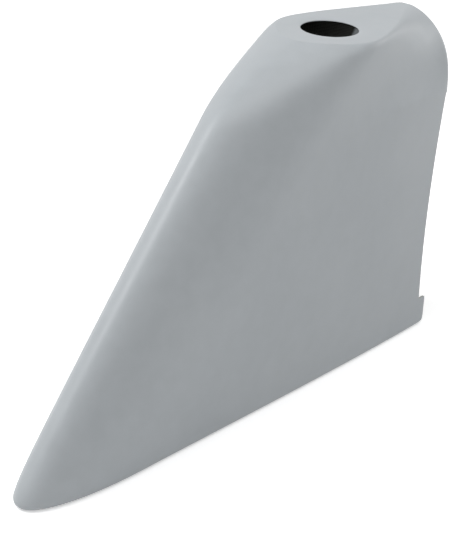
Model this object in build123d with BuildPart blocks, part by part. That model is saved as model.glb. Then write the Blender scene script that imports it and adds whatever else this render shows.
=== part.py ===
from build123d import *
from math import radians, sqrt, tan
import os

# One moulded shell: the swept tip of an aircraft's vertical fin, open underneath and
# open aft, with a flat pad on top for a beacon. X runs aft, Y to starboard, Z up, in mm.
# It stands on its open base rim, with the origin midway between the nose and the aft rim.

# overall
length = 503.3  # nose to aft rim
height = 310.9  # base rim to the pad
wall = 2.0  # moulded laminate

# leading edge, seen from the side
sweep = 47.65  # degrees up from the base
nose_setback = 2.9  # taken off the nose by the rolled lip
nose_tuck = 11.8  # it starts upright and reaches its sweep over about twice this height
bend_height = 231.0  # above this it leans back towards the pad
bend_power = 2.2
pad_front = 45.8  # from the beacon hole's axis forward to where it meets the pad

# horizontal section: a blunt nose running into flat flanks that open slowly aft
nose_half = 33.3  # half width where the nose ends, at the base
nose_growth = 0.065  # and this much wider with each millimetre of height
nose_run = 96.0  # length of the nose at the base
nose_shrink = 0.0725  # and this much shorter with each millimetre of height
nose_bluntness = 0.54  # share of the half width reached straight off the leading edge
nose_sharpening = 0.0008  # and this much less with each millimetre of height
flank_half = 56.2  # half width at the aft end of the base
flank_lean = 0.0125  # and this much less with each millimetre of height

# beacon pad and its hole
hole_diameter = 50.8
hole_from_aft = 127.6
pad_half = 46.0  # half width abreast of the hole
pad_half_aft = 2.0  # half width left at the aft crown
shoulder = 9.0  # rounding of the pad's sides

# aft arch and the hollows that lead into it under the pad's tapering edges
arch_rise = 69.6
arch_power = 2.9
arch_point = 0.665  # 0.5 rounds the crown like an ellipse, more brings it to a point
waist = 6.0  # how far the flanks pull in ahead of the arch's flare
flare_run = 32.0

# rolled lip round the base and the aft rim
lip_radius = 5.0
lip_width = 10.0  # from the outside of the flank in to the lip's free edge

# the lip is cut away along the flanks, from a notch under the arch down to a tab
notch_height = 238.0
notch_depth = 4.4
cut_depth = 15.0  # ahead of the aft rim, halfway down
tab_height = 29.0
tab_setback = 14.1  # depth of the cut where it meets the tab

half_length = length / 2
hole_x = half_length - hole_from_aft
nose_x = -half_length - nose_setback


def bend(z):
    return max(0.0, (z - bend_height) / (height - bend_height)) ** bend_power


def swept_line(z):
    return nose_x + (sqrt(z**2 + nose_tuck**2) - nose_tuck) / tan(radians(sweep))


def leading_edge(z):
    return swept_line(z) + (hole_x - pad_front - swept_line(height)) * bend(z)


def nose_length(z):
    plain_top = nose_run - nose_shrink * height
    return nose_run - nose_shrink * z + (pad_front - plain_top) * bend(z)


def arch_half(z, inset=0.0):
    # half width of the aft end: straight flanks under an arch
    flank = flank_half - flank_lean * z - inset
    up = max(0.0, 1 - (height - inset - z) / (arch_rise - inset))
    return pad_half_aft + (flank - pad_half_aft) * (1 - up**arch_power) ** arch_point


def port_outline(z, inset=0.0):
    # control points of the nose curve and of the flank curve behind it, at the outer
    # surface or this far inside it
    top, aft_x = height - inset, half_length - inset
    lean = (leading_edge(z + 1) - leading_edge(z)) if z < top else 0.0
    front = leading_edge(z) + inset * sqrt(1 + lean**2)
    back = leading_edge(z) + nose_length(z)
    run = back - front
    up = max(0.0, 1 - (top - z) / (arch_rise - inset))
    over = max(0.0, 1 - (top - z) / max(shoulder - inset, wall))
    full = nose_half + nose_growth * z
    side = full - (full - pad_half) * (1 - sqrt(1 - over**2)) - inset
    span = aft_x - back
    aft = arch_half(z, inset)
    slope = (flank_half - flank_lean * z - full) / span * (1 - up)
    handle = 0.55 * run
    nose = [
        (front, 0),
        (front, -(nose_bluntness - nose_sharpening * z) * side),
        (back - handle, -side + handle * slope),
        (back, -side),
    ]
    third = span / 3
    pull = waist * 4 * up * (1 - up)
    flare_x = aft_x - third + (third - flare_run) * up
    flare_y = side + (aft - side) * (flare_x - back) / span
    flank = [
        (back, -side),
        (back + handle, -side - handle * slope),
        (flare_x, -flare_y + pull),
        (aft_x, -aft),
    ]
    return nose, flank


def closed_outline(z, inset=0.0):
    nose, flank = port_outline(z, inset)
    with BuildLine() as line:
        Bezier(*nose)
        Bezier(*flank)
        Line(flank[-1], (flank[-1][0], -flank[-1][1]))
        Bezier(*[(x, -y) for x, y in reversed(flank)])
        Bezier(*[(x, -y) for x, y in reversed(nose)])
    return make_face(line.edges(), mode=Mode.PRIVATE)


sections = 15
levels = [1 - (1 - i / (sections - 1)) ** 1.7 for i in range(sections)]

# the moulding's outer surface as a solid, with sharp rims
with BuildPart() as outer:
    for level in levels:
        with BuildSketch(Plane.XY.offset(height * level)):
            add(closed_outline(height * level))
    loft()

# the space inside, one laminate smaller all round
with BuildPart() as inner:
    for level in levels:
        z = wall + (height - 2 * wall) * level
        with BuildSketch(Plane.XY.offset(z)):
            add(closed_outline(z, wall))
    loft()


def rim(solid):
    # every edge round the base and the aft end, but not the foot they share
    base = solid.faces().sort_by(Axis.Z)[0].edges().sort_by(Axis.X)[:-1]
    return base + solid.faces().sort_by(Axis.X)[-1].edges().sort_by(Axis.Z)[1:]


with BuildPart() as inner_rounded:
    add(inner.part)
    fillet(rim(inner_rounded), lip_radius - wall)

with BuildPart() as fin_tip_shell:
    add(outer.part)
    fillet(rim(fin_tip_shell), lip_radius)
    add(inner_rounded.part, mode=Mode.SUBTRACT)

    # the base opening, inside the lip, running out aft along the line of the flanks
    nose, flank = port_outline(0, lip_width)
    (flare_x, flare_y), (end_x, end_y) = flank[-2:]
    run_out = (end_x + 2 * lip_width, end_y + 2 * lip_width * (end_y - flare_y) / (end_x - flare_x))
    with BuildSketch(Plane.XY.offset(-wall)):
        with BuildLine():
            Bezier(*nose)
            Bezier(*flank)
            Polyline(flank[-1], run_out, (run_out[0], 0))
            mirror(about=Plane.XZ)
        make_face()
    extrude(amount=3 * wall, mode=Mode.SUBTRACT)

    # the aft opening, inside the lip, running out below
    crown, spring = height - lip_width, height - arch_rise
    arch = [crown - (crown - spring) * (i / 8) ** 2 for i in range(9)]
    with BuildSketch(Plane.YZ.offset(half_length - 2 * wall)):
        with BuildLine():
            Line((0, crown), (arch_half(crown, lip_width), crown))
            Spline(*[(arch_half(z, lip_width), z) for z in arch])
            foot = arch_half(0, lip_width)
            Polyline((arch_half(spring, lip_width), spring), (foot, 0), (foot, -wall), (0, -wall))
            mirror(about=Plane.YZ)
        make_face()
    extrude(amount=4 * wall, mode=Mode.SUBTRACT)

    # the lip cut away along the flanks
    with BuildSketch(Plane.XZ):
        with BuildLine():
            notch = (half_length - notch_depth, notch_height)
            tab = (half_length - tab_setback, tab_height)
            ThreePointArc(notch, (half_length - cut_depth, (notch_height + tab_height) / 2), tab)
            Polyline(tab, (length, tab_height), (length, notch_height), notch)
        make_face()
    extrude(amount=2 * flank_half, both=True, mode=Mode.SUBTRACT)

    with Locations((hole_x, 0, height)):
        Hole(hole_diameter / 2)


fin_tip_shell.part.label = "fin_tip_shell"
os.makedirs("parts", exist_ok=True)
export_step(fin_tip_shell.part, "parts/fin_tip_shell.step")
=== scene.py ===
from math import atan2, cos, pi, radians, sin, sqrt, tan

import bmesh
import bpy
from mathutils import Matrix, Vector


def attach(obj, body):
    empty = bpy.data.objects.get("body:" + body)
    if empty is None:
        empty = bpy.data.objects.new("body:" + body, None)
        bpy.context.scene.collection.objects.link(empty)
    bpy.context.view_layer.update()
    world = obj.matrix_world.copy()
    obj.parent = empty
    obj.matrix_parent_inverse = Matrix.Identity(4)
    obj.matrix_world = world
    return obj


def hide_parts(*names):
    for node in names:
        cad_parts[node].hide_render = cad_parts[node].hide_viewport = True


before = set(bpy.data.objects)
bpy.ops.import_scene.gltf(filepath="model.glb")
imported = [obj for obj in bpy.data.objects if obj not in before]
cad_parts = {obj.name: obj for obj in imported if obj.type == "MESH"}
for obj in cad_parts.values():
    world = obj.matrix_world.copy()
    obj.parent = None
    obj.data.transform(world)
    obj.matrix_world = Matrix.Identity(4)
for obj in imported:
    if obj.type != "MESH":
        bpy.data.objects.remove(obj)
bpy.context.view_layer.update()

# The swept tip of a vertical fin: one moulded shell standing on its base rim, with satin
# grey gelcoat outside and bare glass cloth inside, its colour darkened to near black as
# painted shade. X runs aft, Y to starboard and Z up, in metres, apart from shellSizes,
# which is in millimetres as the CAD is.


def feed(tree, value, socket):
    # another node's output is linked to the socket, and anything else is set on it
    if isinstance(value, bpy.types.NodeSocket):
        tree.links.new(value, socket)
    else:
        socket.default_value = value


def addNode(tree, kind, at, settings=None, **inputs):
    made = tree.nodes.new(kind)
    made.location = at
    for name, value in (settings or {}).items():
        setattr(made, name, value)
    for name, value in inputs.items():
        feed(tree, value, made.inputs[name.replace("_", " ")])
    return made


def mathNode(tree, operation, at, *values):
    made = addNode(tree, "ShaderNodeMath", at, {"operation": operation})
    for value, socket in zip(values, made.inputs):
        feed(tree, value, socket)
    return made.outputs[0]


def rangeNode(tree, value, low, high, toLow, toHigh, at):
    made = addNode(tree, "ShaderNodeMapRange", at, {"interpolation_type": "SMOOTHSTEP"},
                   Value=value, From_Min=low, From_Max=high, To_Min=toLow, To_Max=toHigh)
    return made.outputs[0]


def mixColours(tree, factor, first, second, at, blend="MIX"):
    # the Mix node keeps its colours on sockets 6 and 7, and its numbers on 2 and 3
    made = addNode(tree, "ShaderNodeMix", at, {"data_type": "RGBA", "blend_type": blend})
    for index, value in ((0, factor), (6, first), (7, second)):
        feed(tree, value, made.inputs[index])
    return made.outputs[2]


def mixNumbers(tree, factor, first, second, at):
    made = addNode(tree, "ShaderNodeMix", at, {"data_type": "FLOAT"})
    for index, value in ((0, factor), (2, first), (3, second)):
        feed(tree, value, made.inputs[index])
    return made.outputs[0]


def noise(tree, where, scale, detail, at):
    made = addNode(tree, "ShaderNodeTexNoise", at,
                   Vector=where, Scale=scale, Detail=detail, Roughness=0.55)
    return made.outputs["Fac"]


def newGroup(name, inputs, outputs):
    group = bpy.data.node_groups.new(name, "ShaderNodeTree")
    for label, kind, value in inputs:
        socket = group.interface.new_socket(name=label, in_out="INPUT", socket_type=kind)
        if value is not None:
            socket.default_value = value
    for label, kind in outputs:
        group.interface.new_socket(name=label, in_out="OUTPUT", socket_type=kind)
    entry = group.nodes.new("NodeGroupInput")
    entry.location = (-1200, 0)
    leave = group.nodes.new("NodeGroupOutput")
    leave.location = (1200, 0)
    return group, entry.outputs, leave.inputs


def useGroup(tree, group, at, **inputs):
    made = addNode(tree, "ShaderNodeGroup", at, {"node_tree": group}, **inputs)
    return made.outputs


weave = {
    "pitch": 0.003,
    "swayScale": 45.0,
    "sway": 0.004,
    "flankFacing": 0.6,  # how squarely a surface faces sideways to count as flank
    "crossing": 0.5,
    "gap": (0.25, 0.75),
}


def makeClothGroup(look):
    # plain-woven glass cloth under resin: crowned yarns that pass over and under each other
    group, entry, leave = newGroup(
        "glassCloth",
        [("Position", "NodeSocketVector", None), ("Normal", "NodeSocketVector", None),
         ("Pitch", "NodeSocketFloat", look["pitch"])],
        [("Height", "NodeSocketFloat"), ("Gap", "NodeSocketFloat")])
    place = addNode(group, "ShaderNodeSeparateXYZ", (-950, 200), Vector=entry["Position"]).outputs
    facing = addNode(group, "ShaderNodeSeparateXYZ", (-950, -200), Vector=entry["Normal"]).outputs
    sideways = mathNode(group, "ABSOLUTE", (-750, -200), facing["Y"])
    onFlank = mathNode(group, "GREATER_THAN", (-550, -200), sideways, look["flankFacing"])
    second = mixNumbers(group, onFlank, place["Y"], place["Z"], (-350, -100))
    waviness = noise(group, entry["Position"], look["swayScale"], 2.0, (-950, 500))
    sway = mathNode(group, "MULTIPLY", (-700, 500), waviness, look["sway"])
    warp = mathNode(group, "ADD", (-500, 400), place["X"], sway)
    weft = mathNode(group, "ADD", (-150, -100), second, sway)
    waves, crowns = [], []
    for row, value in ((300, warp), (0, weft)):
        turn = mathNode(group, "DIVIDE", (0, row), value, entry["Pitch"])
        turn = mathNode(group, "MULTIPLY", (150, row), turn, pi)
        waves.append(mathNode(group, "SINE", (300, row), turn))
        crowns.append(mathNode(group, "ABSOLUTE", (450, row), waves[-1]))
    overUnder = mathNode(group, "MULTIPLY", (450, 150), *waves)
    overUnder = rangeNode(group, overUnder, -look["crossing"], look["crossing"], 0, 1, (600, 150))
    height = mixNumbers(group, overUnder, *crowns, (800, 100))
    both = mathNode(group, "MAXIMUM", (700, -200), *crowns)
    group.links.new(height, leave["Height"])
    group.links.new(rangeNode(group, both, *look["gap"], 1, 0, (950, -200)), leave["Gap"])
    return group


mottleScales = {"Cloud": 9.0, "Mottle": 70.0, "Speck": 1500.0}
mottleDetails = {"Cloud": 3.0, "Mottle": 5.0, "Speck": 1.0}


def makeMottleGroup(scales, details):
    # slow cloudiness, a finer mottle and pin-point specks, as on any sprayed or moulded surface
    group, entry, leave = newGroup(
        "mottle",
        [("Position", "NodeSocketVector", None)]
        + [(label + " Scale", "NodeSocketFloat", scale) for label, scale in scales.items()],
        [(label, "NodeSocketFloat") for label in scales])
    for row, (label, detail) in enumerate(details.items()):
        made = addNode(group, "ShaderNodeTexNoise", (-400, 300 - 300 * row),
                       Vector=entry["Position"], Scale=entry[label + " Scale"], Detail=detail)
        group.links.new(made.outputs["Fac"], leave[label])
    return group


def startMaterial(name, specular):
    material = bpy.data.materials.new(name)
    material.use_nodes = True
    tree = material.node_tree
    tree.nodes.clear()
    principled = addNode(tree, "ShaderNodeBsdfPrincipled", (400, 200))
    principled.inputs["Specular IOR Level"].default_value = specular
    output = addNode(tree, "ShaderNodeOutputMaterial", (700, 200))
    tree.links.new(principled.outputs[0], output.inputs["Surface"])
    geometry = addNode(tree, "ShaderNodeNewGeometry", (-1600, 0)).outputs
    return material, tree, principled.inputs, geometry


def finishMaterial(tree, shader, colour, roughness, relief, look):
    bump = addNode(tree, "ShaderNodeBump", (0, -200), Height=relief,
                   Strength=look["bumpStrength"], Distance=look["bumpDistance"])
    tree.links.new(colour, shader["Base Color"])
    tree.links.new(roughness, shader["Roughness"])
    tree.links.new(bump.outputs[0], shader["Normal"])


def grey(tree, value, at):
    return addNode(tree, "ShaderNodeCombineColor", at, Red=value, Green=value, Blue=value).outputs[0]


gelcoatLook = {
    "specular": 0.45,
    "colour": (0.378, 0.404, 0.424, 1),
    "clouded": (0.396, 0.422, 0.441, 1),
    "cloudRange": (0.30, 0.70),
    "mottle": (0.975, 1.02),
    "mottleRange": (0.25, 0.75),
    "speck": (0.310, 0.330, 0.345, 1),
    "speckRange": (0.66, 0.78),
    "speckShare": 0.35,
    "roughness": (0.40, 0.50),
    "roughnessRange": (0.3, 0.7),
    "peelScale": 620.0,
    "peelHeight": 0.030,
    "rippleHeight": 0.45,
    "bumpStrength": 0.9,
    "bumpDistance": 0.0006,
}


def makeGelcoat(look, mottleGroup):
    material, tree, shader, geometry = startMaterial("satinGelcoat", look["specular"])
    mottle = useGroup(tree, mottleGroup, (-1300, 400), Position=geometry["Position"])
    cloud = rangeNode(tree, mottle["Cloud"], *look["cloudRange"], 0, 1, (-1050, 700))
    colour = mixColours(tree, cloud, look["colour"], look["clouded"], (-800, 700))
    fine = rangeNode(tree, mottle["Mottle"], *look["mottleRange"], *look["mottle"], (-1050, 500))
    fine = grey(tree, fine, (-800, 500))
    colour = mixColours(tree, 1.0, colour, fine, (-600, 650), "MULTIPLY")
    speck = rangeNode(tree, mottle["Speck"], *look["speckRange"], 0, look["speckShare"], (-1050, 300))
    colour = mixColours(tree, speck, colour, look["speck"], (-400, 650))
    roughness = rangeNode(tree, mottle["Mottle"], *look["roughnessRange"], *look["roughness"],
                          (-400, 200))
    peel = noise(tree, geometry["Position"], look["peelScale"], 2.0, (-1050, -200))
    peel = mathNode(tree, "MULTIPLY", (-800, -200), peel, look["peelHeight"])
    ripple = mathNode(tree, "MULTIPLY", (-800, -400), mottle["Cloud"], look["rippleHeight"])
    relief = mathNode(tree, "ADD", (-550, -300), peel, ripple)
    finishMaterial(tree, shader, colour, roughness, relief, look)
    return material


paintedShadeLaminateLook = {
    "specular": 0.08,
    # yarn and resin are near black: the laminate's own olive tone darkened far below it, as painted
    # shade on the shadowed inside
    "shadedYarn": (0.010, 0.011, 0.007, 1),
    "resin": (0.005, 0.0055, 0.0035, 1),
    "blotch": (0.70, 1.15),
    "blotchRange": (0.3, 0.7),
    "overspray": (0.36, 0.385, 0.40, 1),
    "oversprayFrom": (0.228, 0.237),
    "oversprayRaggedness": 0.008,
    "pitch": 0.0032,
    "roughness": (0.88, 0.72),
    "roughnessRange": (0.1, 0.9),
    "bumpStrength": 0.6,
    "bumpDistance": 0.0003,
}


def makeLaminateWithPaintedShade(look, mottleGroup, clothGroup):
    material, tree, shader, geometry = startMaterial("laminateWithPaintedShade", look["specular"])
    mottle = useGroup(tree, mottleGroup, (-1300, 400), Position=geometry["Position"])
    cloth = useGroup(tree, clothGroup, (-1300, -100), Position=geometry["Position"],
                     Normal=geometry["True Normal"], Pitch=look["pitch"])
    # the near-black cloth colours are painted shade
    colour = mixColours(tree, cloth["Gap"], look["shadedYarn"], look["resin"], (-800, 300))
    blotch = rangeNode(tree, mottle["Mottle"], *look["blotchRange"], *look["blotch"], (-1050, 100))
    blotch = grey(tree, blotch, (-800, 100))
    colour = mixColours(tree, 1.0, colour, blotch, (-550, 250), "MULTIPLY")
    # the outside's grey, blown in round the open aft end
    place = addNode(tree, "ShaderNodeSeparateXYZ", (-1050, 700), Vector=geometry["Position"]).outputs
    ragged = mathNode(tree, "MULTIPLY", (-1050, 550), mottle["Mottle"], look["oversprayRaggedness"])
    reach = mathNode(tree, "ADD", (-850, 600), place["X"], ragged)
    sprayed = rangeNode(tree, reach, *look["oversprayFrom"], 0, 1, (-650, 600))
    colour = mixColours(tree, sprayed, colour, look["overspray"], (-300, 350))
    roughness = rangeNode(tree, cloth["Height"], *look["roughnessRange"], *look["roughness"],
                          (-550, 0))
    finishMaterial(tree, shader, colour, roughness, cloth["Height"], look)
    return material


cutEdgeLook = {
    "specular": 0.35,
    "glass": (0.52, 0.54, 0.52, 1),
    "resin": (0.30, 0.31, 0.28, 1),
    "resinRange": (0.42, 0.58),
    "plies": 3300.0,
    "roughness": (0.55, 0.75),
    "roughnessRange": (0.3, 0.7),
    "bumpStrength": 0.5,
    "bumpDistance": 0.0001,
}


def makeCutEdge(look, mottleGroup):
    # sawn and sanded laminate: pale glass with darker resin between the plies
    material, tree, shader, geometry = startMaterial("cutLaminateEdge", look["specular"])
    mottle = useGroup(tree, mottleGroup, (-1300, 400), Position=geometry["Position"],
                      Mottle_Scale=look["plies"])
    share = rangeNode(tree, mottle["Mottle"], *look["resinRange"], 0, 1, (-1050, 300))
    colour = mixColours(tree, share, look["glass"], look["resin"], (-600, 300))
    roughness = rangeNode(tree, mottle["Mottle"], *look["roughnessRange"], *look["roughness"],
                          (-600, 50))
    finishMaterial(tree, shader, colour, roughness, mottle["Mottle"], look)
    return material


mottleGroup = makeMottleGroup(mottleScales, mottleDetails)
clothGroup = makeClothGroup(weave)
shellMaterials = [
    makeGelcoat(gelcoatLook, mottleGroup),
    makeLaminateWithPaintedShade(paintedShadeLaminateLook, mottleGroup, clothGroup),
    makeCutEdge(cutEdgeLook, mottleGroup),
]
print("materials:", ", ".join(material.name for material in shellMaterials))


shellSizes = {
    "halfLength": 251.65,
    "height": 310.9,
    "wall": 2.0,
    # leading edge, seen from the side
    "noseX": -252.75,
    "sweep": 48.79,  # degrees
    "noseTuck": 13.1,
    "bendHeight": 252.9,
    "bendPower": 2.28,
    "padFront": 52.4,
    # horizontal section; growth, shrink, sharpening and lean are for each millimetre of height
    "noseHalf": 35.65,
    "noseGrowth": 0.0536,
    "noseRun": 115.4,
    "noseShrink": 0.0218,
    "noseHandle": 0.55,
    "noseBluntness": 0.5587,
    "noseSharpening": 0.0008,
    "flankHalf": 56.0,
    "flankLean": 0.01305,
    "flankBow": 5.03,
    # pad and its hole
    "holeX": 124.05,
    "holeRadius": 25.4,
    "holeEdge": 0.7,
    "padHalf": 47.5,
    "padHalfAft": 2.0,
    "shoulder": 8.0,
    # aft arch and the hollows that lead into it
    "archRise": 69.6,
    "archPower": 2.9,
    "archPoint": 0.665,
    "waist": 13.0,
    "flareRun": 26.0,
    # rolled lip, and where it is cut away
    "lipRadius": 5.0,
    "lipWidth": 10.0,
    "notchHeight": 238.0,
    "cutDepth": 15.4,
    "tabHeight": 29.9,
    "tabSetback": 14.4,
    "tabSlant": 9.0,
    "footRadius": 7.5,
    # columns and rows of the mesh
    "noseColumns": 26,
    "noseCrowding": 1.25,
    "flankColumns": 52,
    "tabColumns": 4,
    "lowRows": 9,
    "middleRows": 44,
    "archRows": 26,
    "shoulderRows": 9,
    "lipSteps": 6,
    "footSteps": 8,
    "padRows": (0, 0.04, 0.15, 0.5, 1),
    "holeEdgeRows": (0.33, 0.67, 1.0),
    # how far apart a tangent's two points lie, along the section and up
    "columnStep": 0.004,
    "heightStep": 0.2,
    "mergeWithin": 0.02,
    "dissolveWithin": 0.01,
    "sharpAngle": 60,  # degrees
}


def bezierPoint(points, t):
    weights = ((1 - t) ** 3, 3 * t * (1 - t) ** 2, 3 * t * t * (1 - t), t ** 3)
    return tuple(sum(w * p[axis] for w, p in zip(weights, points)) for axis in (0, 1))


def findX(points, x):
    # where a flank curve, which only runs aft, reaches x
    low, high = 0.0, 1.0
    for _ in range(40):
        middle = (low + high) / 2
        if bezierPoint(points, middle)[0] < x:
            low = middle
        else:
            high = middle
    return (low + high) / 2


class ShellShape:
    # the outer surface of the port side, by height and by place along the section

    def __init__(self, sizes):
        for name, value in sizes.items():
            setattr(self, name, value)
        self.slope = 1 / tan(radians(self.sweep))

    def bend(self, z):
        above = max(0.0, (z - self.bendHeight) / (self.height - self.bendHeight))
        return above ** self.bendPower

    def sweptLine(self, z):
        return self.noseX + (sqrt(z * z + self.noseTuck ** 2) - self.noseTuck) * self.slope

    def leadingEdge(self, z):
        atPad = self.holeX - self.padFront
        return self.sweptLine(z) + (atPad - self.sweptLine(self.height)) * self.bend(z)

    def curves(self, z):
        # the section at a height: a nose curve and the flank curve behind it
        z = min(z, self.height)
        front = self.leadingEdge(z)
        plainTop = self.noseRun - self.noseShrink * self.height
        run = self.noseRun - self.noseShrink * z + (self.padFront - plainTop) * self.bend(z)
        back = front + run
        up = max(0.0, 1 - (self.height - z) / self.archRise)
        over = max(0.0, 1 - (self.height - z) / self.shoulder)
        full = self.noseHalf + self.noseGrowth * z
        side = full - (full - self.padHalf) * (1 - sqrt(max(0.0, 1 - over ** 2)))
        aft = self.archHalf(z, 0)[0]
        span = self.halfLength - back
        slope = (self.flankHalf - self.flankLean * z - full) / span * (1 - up)
        handle = self.noseHandle * run
        flareX = self.halfLength - span / 3 + (span / 3 - self.flareRun) * up
        flareY = side + (aft - side) * (flareX - back) / span + self.flankBow * (1 - up)
        pull = self.waist * 4 * up * (1 - up)
        bluntness = self.noseBluntness - self.noseSharpening * z
        nose = [(front, 0), (front, -bluntness * side),
                (back - handle, -side + handle * slope), (back, -side)]
        flank = [(back, -side), (back + handle, -side - handle * slope),
                 (flareX, -flareY + pull), (self.halfLength, -aft)]
        return nose, flank

    def archHalf(self, z, inset):
        # half width of the aft end, and its height, on the outline or this far inside it
        up = max(0.0, 1 - (self.height - z) / self.archRise)
        lowered = self.height - inset - (1 - up) * (self.archRise - inset) if up else z
        flank = self.flankHalf - self.flankLean * lowered - inset
        share = max(0.0, 1 - up ** self.archPower) ** self.archPoint
        return self.padHalfAft + (flank - self.padHalfAft) * share, lowered

    def cutX(self, z):
        # where the flank ends: the lip's start, or the line that it is cut back to
        low, high = self.tabHeight, self.notchHeight
        if z >= high:
            return self.halfLength - self.lipRadius
        if z <= low:
            return self.halfLength - self.tabSetback
        share = (z - low) / (high - low)
        straight = self.tabSetback + (self.lipRadius - self.tabSetback) * share
        bulge = self.cutDepth - (self.tabSetback + self.lipRadius) / 2
        return self.halfLength - straight - bulge * 4 * share * (1 - share)

    def point(self, column, z):
        # column runs 0 to 1 over the nose, 1 to 2 over the flank and 2 to 3 over the tab
        nose, flank = self.curves(z)
        if column <= 1:
            x, y = bezierPoint(nose, column)
        else:
            end = findX(flank, self.cutX(z))
            if column <= 2:
                t = (column - 1) * end
            else:
                lipStart = findX(flank, self.halfLength - self.lipRadius)
                t = end + (column - 2) * (lipStart - end)
            x, y = bezierPoint(flank, t)
        return Vector((x, y, z))

    def tangents(self, column, z):
        # along the section, up the surface, and out of it
        ahead = self.point(max(column - self.columnStep, 0), z)
        behind = self.point(column if column in (1, 2, 3) else column + self.columnStep, z)
        along = (behind - ahead).normalized() if column > 0 else Vector((0, -1, 0))
        above = self.point(column, min(z + self.heightStep, self.height))
        below = self.point(column, min(z, self.height) - self.heightStep)
        rising = (above - below).normalized()
        out = rising.cross(along).normalized()
        if out.y > 0 or (column == 0 and out.x > 0):
            out.negate()
        return along, rising, out


def conic(start, corner, end, steps):
    # the round between two tangents, its start and end included
    first, second = (corner - start).normalized(), (end - corner).normalized()
    weight = cos(first.angle(second) / 2)
    points = []
    for index in range(steps + 1):
        u = index / steps
        a, b, c = (1 - u) ** 2, 2 * u * (1 - u) * weight, u * u
        points.append((start * a + corner * b + end * c) / (a + b + c))
    return points


def lipRow(shape, edge, towards, reach, inward):
    # from the surface's edge round the lip, and then to the full width of the lip
    corner = edge + towards * reach
    end = corner + inward * reach
    flat = shape.lipWidth - reach
    row = conic(edge, corner, end, shape.lipSteps)
    return row + [end + inward * flat * share for share in (0.5, 1.0)]


def aftLip(shape, column, z):
    # the same at the aft end, where the lip follows the arch at its own radius and width
    edge = shape.point(column, z)
    half, lowered = shape.archHalf(z, 0)
    corner = Vector((shape.halfLength, -half, lowered))
    places = []
    for share in (0.0, 0.5, 1.0):
        inset = shape.lipRadius + (shape.lipWidth - shape.lipRadius) * share
        half, lowered = shape.archHalf(z, inset)
        places.append(Vector((shape.halfLength, -half, lowered)))
    return conic(edge, corner, places[0], shape.lipSteps) + places[1:]


def footWarp(shape, point):
    # opens the tab's lower aft corner from the lip's radius to the larger one seen on it
    size, small = shape.footRadius, shape.lipRadius / shape.footRadius
    across, down = (point.x - shape.halfLength + size) / size, (size - point.z) / size
    if across <= 0 or down <= 0:
        return point
    angle = atan2(min(across, down), max(across, down))
    if tan(angle) <= 1 - small:
        edge = 1 / cos(angle)
    else:
        reach = (1 - small) * (cos(angle) + sin(angle))
        edge = reach + sqrt(max(0.0, reach ** 2 - 2 * (1 - small) ** 2 + small ** 2))
    x, z = shape.halfLength - size + across / edge * size, size - down / edge * size
    return Vector((x, point.y, z))


def rise(low, high, rows):
    # evenly spaced heights above low, up to high
    return [low + (high - low) * index / rows for index in range(1, rows + 1)]


def lowHeights(shape, column):
    # from the base lip, which starts higher where the surface faces up, to the tab's top
    low = shape.lipRadius
    for _ in range(3):
        low = shape.lipRadius * (1 + max(0.0, shape.tangents(column, low)[2].z))
    return [low] + rise(low, shape.tabHeight, shape.lowRows)


def baseStrip(shape, columns, lows):
    # the base lip, the foot's corner, and the aft lip of the tab
    strip = []
    for column in columns:
        edge = shape.point(column, lows[column][0])
        along, rising, out = shape.tangents(column, lows[column][0])
        down = -rising
        inward = Vector((-out.x, -out.y, 0)).normalized()
        strip.append(lipRow(shape, edge, down, edge.z / -down.z, inward))
    aftInward = Vector((0, -out.y, -out.z)).normalized()
    for index in range(1, shape.footSteps):
        turn = pi / 2 * index / shape.footSteps
        towards = (down * cos(turn) + along * sin(turn)).normalized()
        turnedIn = (inward * cos(turn) + aftInward * sin(turn)).normalized()
        strip.append(lipRow(shape, edge, towards, shape.lipRadius, turnedIn))
    tabLow = lows[3][0]
    for z in lows[3]:
        # the tab's top slants down inwards
        row = aftLip(shape, 3, z)
        slant = shape.tabSlant * (z - tabLow) / (shape.tabHeight - tabLow) / len(row)
        strip.append([place - Vector((0, 0, slant * index)) for index, place in enumerate(row)])
    return strip


def archStrip(shape, heights):
    # the aft lip over the arch to the middle of the crown
    strip = [aftLip(shape, 2, z) for z in heights]
    crown = shape.point(2, shape.height)
    for share in (0.5, 1.0):
        edge = Vector((crown.x, crown.y * (1 - share), crown.z))
        strip.append(lipRow(shape, edge, Vector((1, 0, 0)), shape.lipRadius, Vector((0, 0, -1))))
    return strip


def padPatch(shape, columns):
    # the pad, from its outline in to the hole's softened edge
    outline = [shape.point(column, shape.height) for column in columns]
    crown = outline[-1]
    outline += [Vector((crown.x, crown.y / 2, crown.z)), Vector((crown.x, 0, crown.z))]
    centre = Vector((shape.holeX, 0, shape.height))
    columnsOut = []
    for place in outline:
        ray = (place - centre).normalized()
        rim = centre + ray * (shape.holeRadius + shape.holeEdge)
        column = [place.lerp(rim, share) for share in shape.padRows]
        for turn in shape.holeEdgeRows:
            fall = shape.holeEdge * (1 - cos(pi / 2 * turn))
            inwards = ray * shape.holeEdge * sin(pi / 2 * turn)
            column.append(rim - inwards - Vector((0, 0, fall)))
        columnsOut.append(column)
    return list(zip(*columnsOut))


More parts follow.
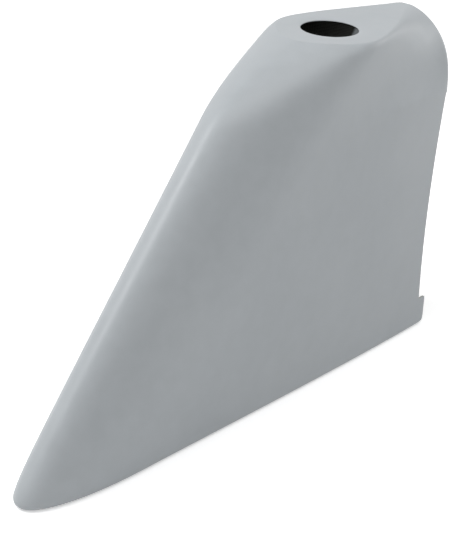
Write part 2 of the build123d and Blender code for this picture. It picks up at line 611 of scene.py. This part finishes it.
def portPatches(shape):
    # the port half as grids of points, row by row
    sideColumns = [(index / shape.noseColumns) ** shape.noseCrowding
                   for index in range(shape.noseColumns)]
    sideColumns += [1 + index / shape.flankColumns for index in range(shape.flankColumns + 1)]
    tabColumns = [2 + index / shape.tabColumns for index in range(shape.tabColumns + 1)]
    lows = {column: lowHeights(shape, column) for column in sideColumns + tabColumns}
    top = shape.height - shape.shoulder
    middle = rise(shape.tabHeight, shape.notchHeight, shape.middleRows)
    upper = rise(shape.notchHeight, top, shape.archRows)
    upper += [top + shape.shoulder * sin(pi / 2 * share) for share in rise(0, 1, shape.shoulderRows)]

    def lowPatch(columns):
        return [[shape.point(column, lows[column][row]) for column in columns]
                for row in range(shape.lowRows + 1)]

    side = lowPatch(sideColumns)
    side += [[shape.point(column, z) for column in sideColumns] for z in middle + upper]
    return [
        side,
        lowPatch(tabColumns),
        baseStrip(shape, sideColumns + tabColumns[1:], lows),
        archStrip(shape, [shape.notchHeight] + upper),
        padPatch(shape, sideColumns),
    ]


def makeSheet(shape):
    # the outer surface of both halves, welded into one sheet
    grid = bmesh.new()
    for patch in portPatches(shape):
        patch = [[footWarp(shape, point) for point in row] for row in patch]
        for side in (1, -1):
            rows = [[grid.verts.new(Vector((p.x, p.y * side, p.z)) / 1000) for p in row]
                    for row in patch]
            for first, second in zip(rows, rows[1:]):
                for index in range(len(first) - 1):
                    corners = (first[index], first[index + 1], second[index + 1], second[index])
                    grid.faces.new(corners[::side])
    bmesh.ops.remove_doubles(grid, verts=grid.verts, dist=shape.mergeWithin / 1000)
    bmesh.ops.dissolve_degenerate(grid, edges=grid.edges, dist=shape.dissolveWithin / 1000)
    mesh = bpy.data.meshes.new("finTipSkin")
    grid.to_mesh(mesh)
    grid.free()
    return mesh


def makeShell(sizes, materials):
    mesh = makeSheet(ShellShape(sizes))
    for material in materials:
        mesh.materials.append(material)
    made = bpy.data.objects.new("finTipSkin", mesh)
    bpy.context.scene.collection.objects.link(made)
    # the wall grows inwards: laminate with painted shade inside, and a cut edge wherever the sheet ends
    thickness = made.modifiers.new("laminate", "SOLIDIFY")
    thickness.thickness = sizes["wall"] / 1000
    thickness.offset = -1
    thickness.use_quality_normals = True
    thickness.material_offset = 1
    thickness.material_offset_rim = 2
    depsgraph = bpy.context.evaluated_depsgraph_get()
    solid = bpy.data.meshes.new_from_object(made.evaluated_get(depsgraph))
    made.modifiers.clear()
    made.data = solid
    for face in solid.polygons:
        face.use_smooth = True
    solid.set_sharp_from_angle(angle=radians(sizes["sharpAngle"]))
    return made


skin = makeShell(shellSizes, shellMaterials)
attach(skin, "root")
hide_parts("fin_tip_shell")
print("shell:", len(skin.data.polygons), "faces")


stage = {
    "floorSize": 8.0,
    "floorDrop": 0.0004,
    "floorColour": (0.92, 0.92, 0.92, 1),
    "floorGlow": 0.42,
    "worldColour": (1.0, 1.0, 1.0, 1),
    "worldStrength": 0.44,
}

lamps = {
    "keyLamp": {"at": (-0.90, 0.95, 1.50), "towards": (0.0, 0.0, 0.15), "size": 1.0, "watts": 20.0},
    "topLamp": {"at": (0.0, -0.45, 2.0), "towards": (0.0, -0.25, 0.0), "size": 1.2, "watts": 9.0},
    "aftLamp": {"at": (2.1, -0.9, 0.9), "towards": (0.1, 0.0, 0.15), "size": 1.2, "watts": 11.0},
}


def directRay(tree, at):
    # 1 where the camera sees a surface itself, mirrored or through something clear
    seen = addNode(tree, "ShaderNodeLightPath", (at[0] - 400, at[1])).outputs
    mirrored = mathNode(tree, "MAXIMUM", (at[0] - 200, at[1] - 100),
                        seen["Is Glossy Ray"], seen["Is Transmission Ray"])
    return mathNode(tree, "MAXIMUM", at, seen["Is Camera Ray"], mirrored)


def makeFloor(look):
    half = look["floorSize"] / 2
    corners = [(-half, -half), (half, -half), (half, half), (-half, half)]
    mesh = bpy.data.meshes.new("floor")
    mesh.from_pydata([(x, y, -look["floorDrop"]) for x, y in corners], [], [(0, 1, 2, 3)])
    floor = bpy.data.objects.new("floor", mesh)
    bpy.context.scene.collection.objects.link(floor)
    material = bpy.data.materials.new("paleFloor")
    material.use_nodes = True
    tree = material.node_tree
    tree.nodes.clear()
    # a matt floor with a glow that lights nothing, so that it shows white
    strength = mathNode(tree, "MULTIPLY", (-500, -100), directRay(tree, (-700, -100)), look["floorGlow"])
    matt = addNode(tree, "ShaderNodeBsdfDiffuse", (-300, 100), Color=look["floorColour"])
    glow = addNode(tree, "ShaderNodeEmission", (-300, -100), Color=(1, 1, 1, 1), Strength=strength)
    both = addNode(tree, "ShaderNodeAddShader", (0, 0))
    tree.links.new(matt.outputs[0], both.inputs[0])
    tree.links.new(glow.outputs[0], both.inputs[1])
    output = addNode(tree, "ShaderNodeOutputMaterial", (200, 0))
    tree.links.new(both.outputs[0], output.inputs["Surface"])
    mesh.materials.append(material)


def makeWorld(look):
    world = bpy.data.worlds.new("paleRoom")
    bpy.context.scene.world = world
    world.use_nodes = True
    tree = world.node_tree
    tree.nodes.clear()
    strength = mixNumbers(tree, directRay(tree, (-650, 0)), look["worldStrength"], 1.0, (-450, 0))
    sky = addNode(tree, "ShaderNodeBackground", (-200, 0),
                  Color=look["worldColour"], Strength=strength)
    output = addNode(tree, "ShaderNodeOutputWorld", (50, 0))
    tree.links.new(sky.outputs[0], output.inputs["Surface"])


def makeLamp(name, look):
    data = bpy.data.lights.new(name, "AREA")
    data.shape = "DISK"
    data.size = look["size"]
    data.energy = look["watts"]
    lamp = bpy.data.objects.new(name, data)
    lamp.location = look["at"]
    aim = Vector(look["towards"]) - Vector(look["at"])
    lamp.rotation_euler = aim.to_track_quat("-Z", "Y").to_euler()
    bpy.context.scene.collection.objects.link(lamp)


makeFloor(stage)
makeWorld(stage)
for name, look in lamps.items():
    makeLamp(name, look)
print("stage: floor, world and", len(lamps), "lamps made")


view = {
    "at": (-0.954055, -0.715692, 0.678251),
    "azimuth": -53.052,  # degrees
    "pitch": 24.902,
    "roll": 3.481,
    "sensor": 36,  # mm
    "lens": 103.72,
    "clipStart": 0.01,
}


def makeCamera(look):
    turn, tilt, roll = (radians(look[name]) for name in ("azimuth", "pitch", "roll"))
    back = Vector((sin(turn) * cos(tilt), -cos(turn) * cos(tilt), sin(tilt)))
    level = Vector((cos(turn), sin(turn), 0))
    up = back.cross(level)
    right = level * cos(roll) + up * sin(roll)
    up = up * cos(roll) - level * sin(roll)
    data = bpy.data.cameras.new("photoCamera")
    data.lens = look["lens"]
    data.sensor_width = look["sensor"]
    data.clip_start = look["clipStart"]
    camera = bpy.data.objects.new("photoCamera", data)
    camera.matrix_world = Matrix((
        (right.x, up.x, back.x, look["at"][0]),
        (right.y, up.y, back.y, look["at"][1]),
        (right.z, up.z, back.z, look["at"][2]),
        (0, 0, 0, 1)))
    bpy.context.scene.collection.objects.link(camera)
    bpy.context.scene.camera = camera


makeCamera(view)
bpy.context.scene.view_settings.view_transform = "Standard"
print("camera: placed")
